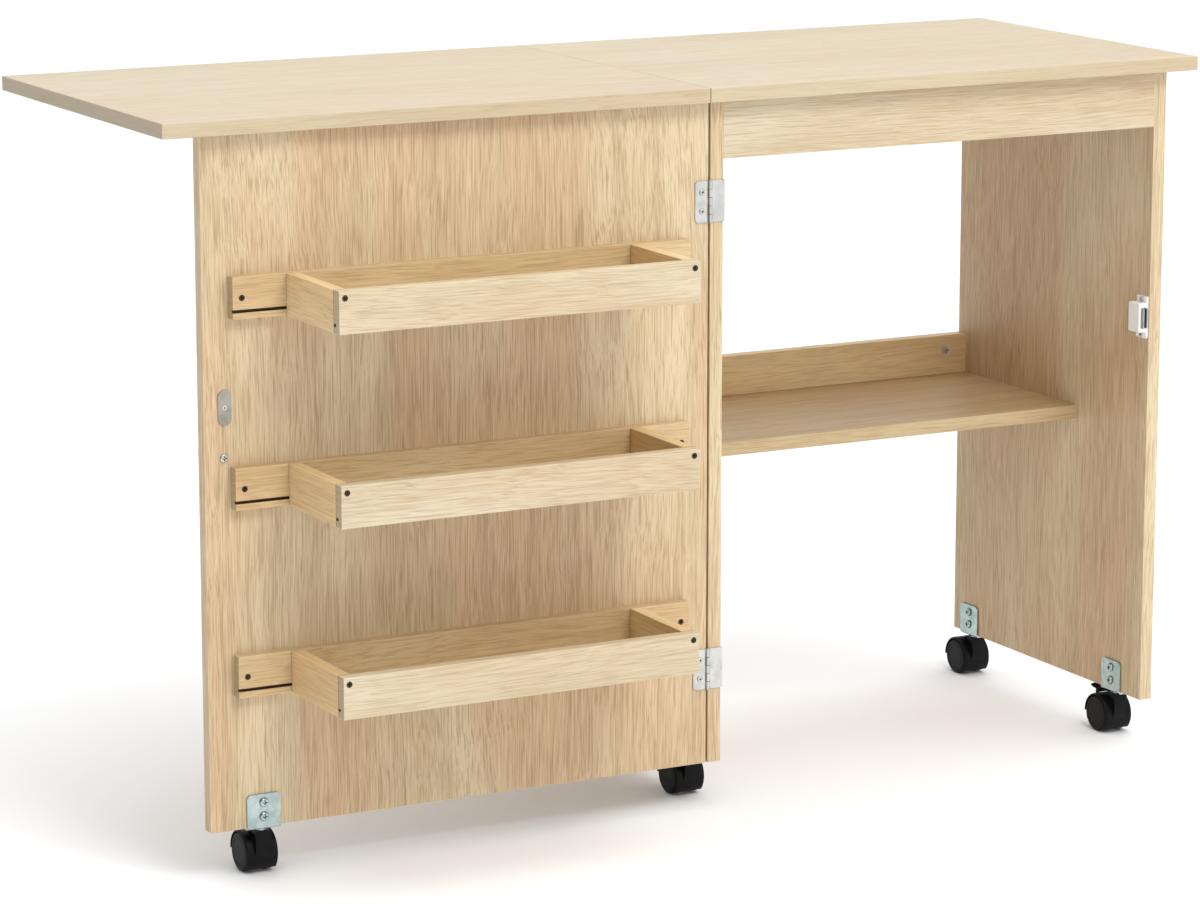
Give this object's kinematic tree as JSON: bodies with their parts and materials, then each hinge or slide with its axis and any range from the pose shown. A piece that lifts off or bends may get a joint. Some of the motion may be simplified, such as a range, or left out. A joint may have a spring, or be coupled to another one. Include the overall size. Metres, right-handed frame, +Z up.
{
  "type": "sewing table",
  "caption": "Sewing table with an oak-look top, a narrow open cabinet on castors, and a leaf resting on a hinged door that carries sewing trays.",
  "frame": {"origin": "on the floor, under the centre of the box round the open table", "axes": "+X runs along the top from the leaf to the cabinet, -Y is the side that the door and its trays face, +Z is up"},
  "size_m": [1.194, 0.548, 0.762],
  "materials": {
    "top_laminate": "light oak laminate, satin",
    "panel_laminate": "light oak laminate with upright grain, satin",
    "rail_laminate": "light oak laminate with level grain, satin",
    "tray_wood": "light oak laminate on narrow tray boards, satin",
    "tray_bottom_board": "thin faced hardboard, matt",
    "black_screw": "black phosphated",
    "zinc_cast": "cast zinc, dull",
    "barrel_brass": "brass, brushed",
    "nickel": "nickel plated, satin",
    "white_plastic": "white moulded plastic",
    "blade_steel": "zinc plated steel",
    "magnet": "ferrite, matt",
    "strike_steel": "zinc plated steel, satin",
    "knob_metal": "nickel plated, satin",
    "zinc_plate": "bright zinc plated",
    "hood_nylon": "black nylon, semi-matt",
    "wheel_nylon": "black nylon, semi-matt"
  },
  "bodies": {
    "cabinet": {"top_panel": "top_laminate", "left_side_panel": "panel_laminate", "right_side_panel": "panel_laminate", "shelf": "rail_laminate", "front_rail": "rail_laminate", "top_back_rail": "rail_laminate", "low_back_rail": "rail_laminate", "cam_locks": "zinc_cast", "cam_bolts": "zinc_cast", "leaf_hinge_barrels_top": "barrel_brass", "hinge_frame_leaves": "nickel", "hinge_frame_screws": "nickel", "catch_housing": "white_plastic", "catch_blades": "blade_steel", "catch_magnet": "magnet", "catch_screws": "nickel", "left_front_castor_bracket": "zinc_plate", "right_front_castor_bracket": "zinc_plate", "left_rear_castor_bracket": "zinc_plate", "right_rear_castor_bracket": "zinc_plate", "cabinet_bracket_screws": "zinc_plate", "cabinet_castor_stems": "zinc_plate"},
    "door": {"door_panel": "panel_laminate", "door_knob": "knob_metal", "knob_and_strike_screws": "nickel", "strike_plate": "strike_steel", "hinge_door_leaves": "nickel", "hinge_pins": "nickel", "hinge_door_screws": "nickel", "lower_tray_back_strip": "tray_wood", "lower_tray_front_board": "tray_wood", "lower_tray_end_boards": "tray_wood", "lower_tray_bottom": "tray_bottom_board", "middle_tray_back_strip": "tray_wood", "middle_tray_front_board": "tray_wood", "middle_tray_end_boards": "tray_wood", "middle_tray_bottom": "tray_bottom_board", "upper_tray_back_strip": "tray_wood", "upper_tray_front_board": "tray_wood", "upper_tray_end_boards": "tray_wood", "upper_tray_bottom": "tray_bottom_board", "tray_screws": "black_screw", "door_castor_bracket": "zinc_plate", "door_bracket_screws": "zinc_plate", "door_castor_stem": "zinc_plate"},
    "leaf": {"leaf_panel": "top_laminate", "leaf_hinge_barrels_leaf": "barrel_brass"},
    "left_front_castor": {"left_front_castor_hood": "hood_nylon"},
    "left_front_wheels": {"left_front_castor_wheels": "wheel_nylon"},
    "left_front_brake": {"left_front_brake_lever": "hood_nylon"},
    "right_front_castor": {"right_front_castor_hood": "hood_nylon"},
    "right_front_wheels": {"right_front_castor_wheels": "wheel_nylon"},
    "right_front_brake": {"right_front_brake_lever": "hood_nylon"},
    "left_rear_castor": {"left_rear_castor_hood": "hood_nylon"},
    "left_rear_wheels": {"left_rear_castor_wheels": "wheel_nylon"},
    "right_rear_castor": {"right_rear_castor_hood": "hood_nylon"},
    "right_rear_wheels": {"right_rear_castor_wheels": "wheel_nylon"},
    "door_castor": {"door_castor_hood": "hood_nylon"},
    "door_wheels": {"door_castor_wheels": "wheel_nylon"}
  },
  "joints": [
    {"name": "door_swing", "type": "hinge", "parent": "cabinet", "child": "door", "pos_m": [0.0098, -0.14, 0.39775], "axis": [0, 0, 1], "range_deg": [0, 180]},
    {"name": "leaf_fold", "type": "hinge", "parent": "cabinet", "child": "leaf", "pos_m": [0, 0.058, 0.7624], "axis": [0, 1, 0], "range_deg": [0, 180]},
    {"name": "left_front_castor_swivel", "type": "hinge", "parent": "cabinet", "child": "left_front_castor", "pos_m": [0.0185, -0.083, 0.04], "axis": [0, 0, 1], "continuous": true},
    {"name": "left_front_wheel_roll", "type": "hinge", "parent": "left_front_castor", "child": "left_front_wheels", "pos_m": [0.0185, -0.066, 0.02], "axis": [1, 0, 0], "continuous": true},
    {"name": "left_front_brake_press", "type": "hinge", "parent": "left_front_castor", "child": "left_front_brake", "pos_m": [0.0185, -0.056, 0.0431], "axis": [1, 0, 0], "range_deg": [-18, 0]},
    {"name": "right_front_castor_swivel", "type": "hinge", "parent": "cabinet", "child": "right_front_castor", "pos_m": [0.5635, -0.083, 0.04], "axis": [0, 0, 1], "continuous": true},
    {"name": "right_front_wheel_roll", "type": "hinge", "parent": "right_front_castor", "child": "right_front_wheels", "pos_m": [0.5635, -0.066, 0.02], "axis": [1, 0, 0], "continuous": true},
    {"name": "right_front_brake_press", "type": "hinge", "parent": "right_front_castor", "child": "right_front_brake", "pos_m": [0.5635, -0.056, 0.0431], "axis": [1, 0, 0], "range_deg": [-18, 0]},
    {"name": "left_rear_castor_swivel", "type": "hinge", "parent": "cabinet", "child": "left_rear_castor", "pos_m": [0.0185, 0.21, 0.04], "axis": [0, 0, 1], "continuous": true},
    {"name": "left_rear_wheel_roll", "type": "hinge", "parent": "left_rear_castor", "child": "left_rear_wheels", "pos_m": [0.0185, 0.227, 0.02], "axis": [1, 0, 0], "continuous": true},
    {"name": "right_rear_castor_swivel", "type": "hinge", "parent": "cabinet", "child": "right_rear_castor", "pos_m": [0.5635, 0.21, 0.04], "axis": [0, 0, 1], "continuous": true},
    {"name": "right_rear_wheel_roll", "type": "hinge", "parent": "right_rear_castor", "child": "right_rear_wheels", "pos_m": [0.5635, 0.227, 0.02], "axis": [1, 0, 0], "continuous": true},
    {"name": "door_castor_swivel", "type": "hinge", "parent": "door", "child": "door_castor", "pos_m": [-0.4949, -0.1305, 0.04], "axis": [0, 0, 1], "continuous": true},
    {"name": "door_wheel_roll", "type": "hinge", "parent": "door_castor", "child": "door_wheels", "pos_m": [-0.4949, -0.1135, 0.02], "axis": [1, 0, 0], "continuous": true}
  ]
}
